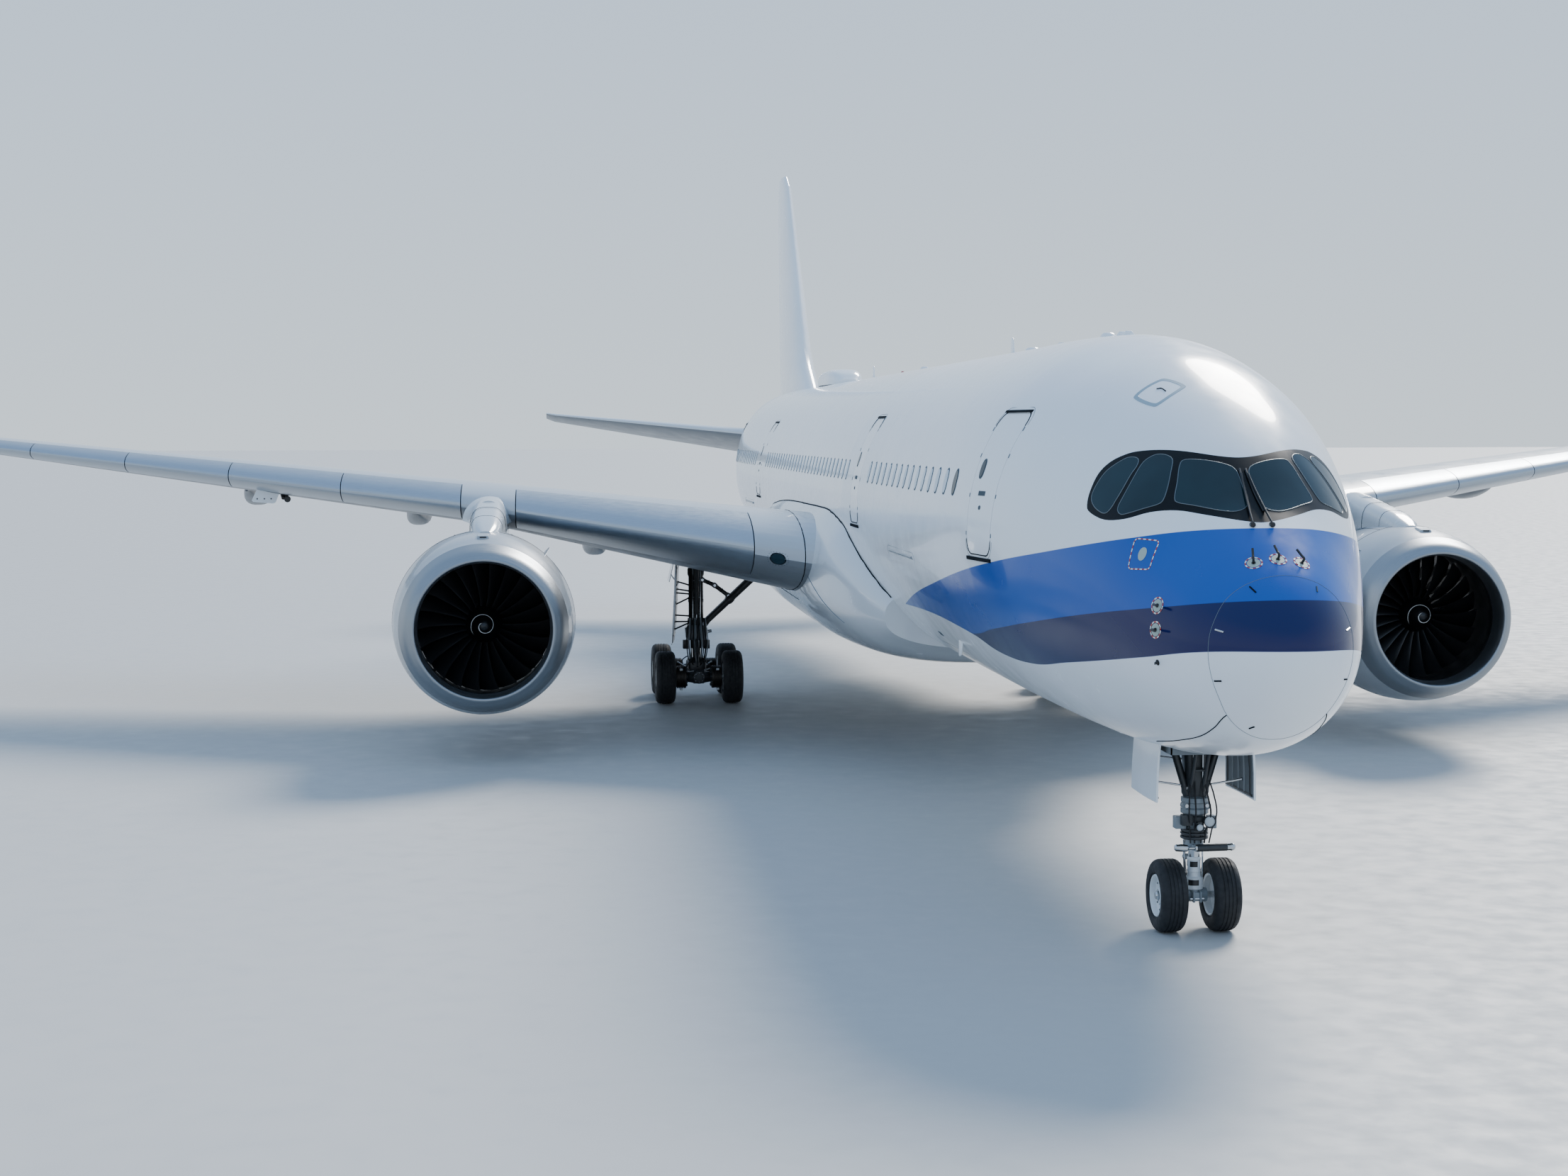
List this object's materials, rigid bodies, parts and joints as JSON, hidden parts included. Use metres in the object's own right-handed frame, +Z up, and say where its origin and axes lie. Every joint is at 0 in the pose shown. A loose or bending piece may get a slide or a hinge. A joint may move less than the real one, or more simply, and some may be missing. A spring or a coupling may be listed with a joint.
{
  "type": "half-scale wide body twin-jet airliner",
  "caption": "Half-scale wide body twin-jet airliner on its landing gear, with turning fans and wheels, nose steering, cargo doors, flaps, ailerons, elevators and a rudder.",
  "frame": {"origin": "on the ground under the middle of the aircraft's length, on its centre line", "axes": "+Y aft along the fuselage with the nose towards -Y, +X to port, +Z up"},
  "size_m": [32.3772, 33.4, 8.525],
  "materials": {
    "white_paint": "gloss",
    "fairing_grey": "gloss",
    "wing_grey": "satin",
    "bare_metal": "polished",
    "cowl_grey": "satin",
    "engine_metal": "dark satin",
    "fan_black": "satin",
    "glass": "dark glass",
    "gear_grey": "satin",
    "tyre": "matt"
  },
  "bodies": {
    "airframe": {"fin": "white_paint", "radome": "white_paint", "nose_section": "white_paint", "forward_fuselage": "white_paint", "centre_fuselage": "white_paint", "aft_fuselage": "white_paint", "tail_cone": "white_paint", "door_1_left": "white_paint", "door_1_right": "white_paint", "door_2_left": "white_paint", "door_2_right": "white_paint", "door_3_left": "white_paint", "door_3_right": "white_paint", "door_4_left": "white_paint", "door_4_right": "white_paint", "nose_gear_door_left": "white_paint", "nose_gear_door_right": "white_paint", "tailplane_left": "white_paint", "tailplane_right": "white_paint", "belly_fairing": "fairing_grey", "wing_left": "wing_grey", "wing_right": "wing_grey", "pylon_left": "wing_grey", "pylon_right": "wing_grey", "slats_left": "bare_metal", "slats_right": "bare_metal", "droop_nose_left": "bare_metal", "droop_nose_right": "bare_metal", "intake_lip_left": "bare_metal", "intake_lip_right": "bare_metal", "nacelle_left": "cowl_grey", "nacelle_right": "cowl_grey", "engine_core_left": "engine_metal", "engine_core_right": "engine_metal", "cockpit_windows": "glass", "nose_gear_leg": "gear_grey", "main_gear_leg_left": "gear_grey", "main_gear_leg_right": "gear_grey", "bogie_beam_left": "gear_grey", "bogie_beam_right": "gear_grey"},
    "left_fan": {"fan_left": "fan_black"},
    "right_fan": {"fan_right": "fan_black"},
    "nose_steering": {"nose_gear_steering": "gear_grey"},
    "nose_axle": {"nose_wheels": "tyre"},
    "left_front_axle": {"main_wheels_left_front": "tyre"},
    "left_rear_axle": {"main_wheels_left_rear": "tyre"},
    "right_front_axle": {"main_wheels_right_front": "tyre"},
    "right_rear_axle": {"main_wheels_right_rear": "tyre"},
    "forward_cargo_door": {"cargo_door_forward": "white_paint"},
    "aft_cargo_door": {"cargo_door_aft": "white_paint"},
    "rudder_surface": {"rudder": "white_paint"},
    "left_elevator": {"elevator_left": "white_paint"},
    "right_elevator": {"elevator_right": "white_paint"},
    "left_aileron": {"aileron_left": "wing_grey"},
    "right_aileron": {"aileron_right": "wing_grey"},
    "left_inboard_flap": {"flap_inboard_left": "wing_grey"},
    "left_outboard_flap": {"flap_outboard_left": "wing_grey"},
    "right_inboard_flap": {"flap_inboard_right": "wing_grey"},
    "right_outboard_flap": {"flap_outboard_right": "wing_grey"}
  },
  "joints": [
    {"name": "fan_left_spin", "type": "hinge", "parent": "airframe", "child": "left_fan", "pos_m": [5.295, -6.13, 1.475], "axis": [0.0262, 0.9997, 0], "continuous": true},
    {"name": "fan_right_spin", "type": "hinge", "parent": "airframe", "child": "right_fan", "pos_m": [-5.295, -6.13, 1.475], "axis": [-0.0262, 0.9997, 0], "continuous": true},
    {"name": "nose_gear_steer", "type": "hinge", "parent": "airframe", "child": "nose_steering", "pos_m": [0, -14.54, 0.5], "axis": [0, 0, 1], "range_deg": [-72, 72]},
    {"name": "nose_wheels_spin", "type": "hinge", "parent": "nose_steering", "child": "nose_axle", "pos_m": [0, -14.54, 0.2625], "axis": [1, 0, 0], "continuous": true},
    {"name": "main_wheels_left_front_spin", "type": "hinge", "parent": "airframe", "child": "left_front_axle", "pos_m": [2.65, -0.72, 0.35], "axis": [1, 0, 0], "continuous": true},
    {"name": "main_wheels_left_rear_spin", "type": "hinge", "parent": "airframe", "child": "left_rear_axle", "pos_m": [2.65, 0.3, 0.35], "axis": [1, 0, 0], "continuous": true},
    {"name": "main_wheels_right_front_spin", "type": "hinge", "parent": "airframe", "child": "right_front_axle", "pos_m": [-2.65, -0.72, 0.35], "axis": [1, 0, 0], "continuous": true},
    {"name": "main_wheels_right_rear_spin", "type": "hinge", "parent": "airframe", "child": "right_rear_axle", "pos_m": [-2.65, 0.3, 0.35], "axis": [1, 0, 0], "continuous": true},
    {"name": "cargo_door_forward_hinge", "type": "hinge", "parent": "airframe", "child": "forward_cargo_door", "pos_m": [-1.45344, -10.25, 2.49], "axis": [0, 1, 0], "range_deg": [0, 150]},
    {"name": "cargo_door_aft_hinge", "type": "hinge", "parent": "airframe", "child": "aft_cargo_door", "pos_m": [-1.45619, 5, 2.49], "axis": [0, 1, 0], "range_deg": [0, 150]},
    {"name": "rudder_hinge", "type": "hinge", "parent": "airframe", "child": "rudder_surface", "pos_m": [0, 12.925, 4.675], "axis": [0, 0.3142, 0.9494], "range_deg": [-30, 30]},
    {"name": "elevator_left_hinge", "type": "hinge", "parent": "airframe", "child": "left_elevator", "pos_m": [1, 14.63549, 3.34261], "axis": [0.9041, 0.4067, 0.1309], "range_deg": [-15, 30]},
    {"name": "elevator_right_hinge", "type": "hinge", "parent": "airframe", "child": "right_elevator", "pos_m": [-1, 14.63549, 3.34261], "axis": [0.9041, -0.4067, -0.1309], "range_deg": [-15, 30]},
    {"name": "aileron_left_hinge", "type": "hinge", "parent": "airframe", "child": "left_aileron", "pos_m": [10.62382, 2.2173, 3.23006], "axis": [0.9067, 0.4099, 0.0993], "range_deg": [-25, 25]},
    {"name": "aileron_right_hinge", "type": "hinge", "parent": "airframe", "child": "right_aileron", "pos_m": [-10.62382, 2.2173, 3.23006], "axis": [0.9067, -0.4099, -0.0993], "range_deg": [-25, 25]},
    {"name": "flap_inboard_left_hinge", "type": "hinge", "parent": "airframe", "child": "left_inboard_flap", "pos_m": [2.175, 0.275, 1.69038], "axis": [-0.9812, 0, -0.193], "range_deg": [0, 35]},
    {"name": "flap_outboard_left_hinge", "type": "hinge", "parent": "airframe", "child": "left_outboard_flap", "pos_m": [5.55, 0.525, 2.39278], "axis": [-0.9421, -0.3172, -0.1086], "range_deg": [0, 35]},
    {"name": "flap_inboard_right_hinge", "type": "hinge", "parent": "airframe", "child": "right_inboard_flap", "pos_m": [-2.175, 0.275, 1.69038], "axis": [-0.9812, 0, 0.193], "range_deg": [0, 35]},
    {"name": "flap_outboard_right_hinge", "type": "hinge", "parent": "airframe", "child": "right_outboard_flap", "pos_m": [-5.55, 0.525, 2.39278], "axis": [-0.9421, 0.3172, 0.1086], "range_deg": [0, 35]}
  ]
}
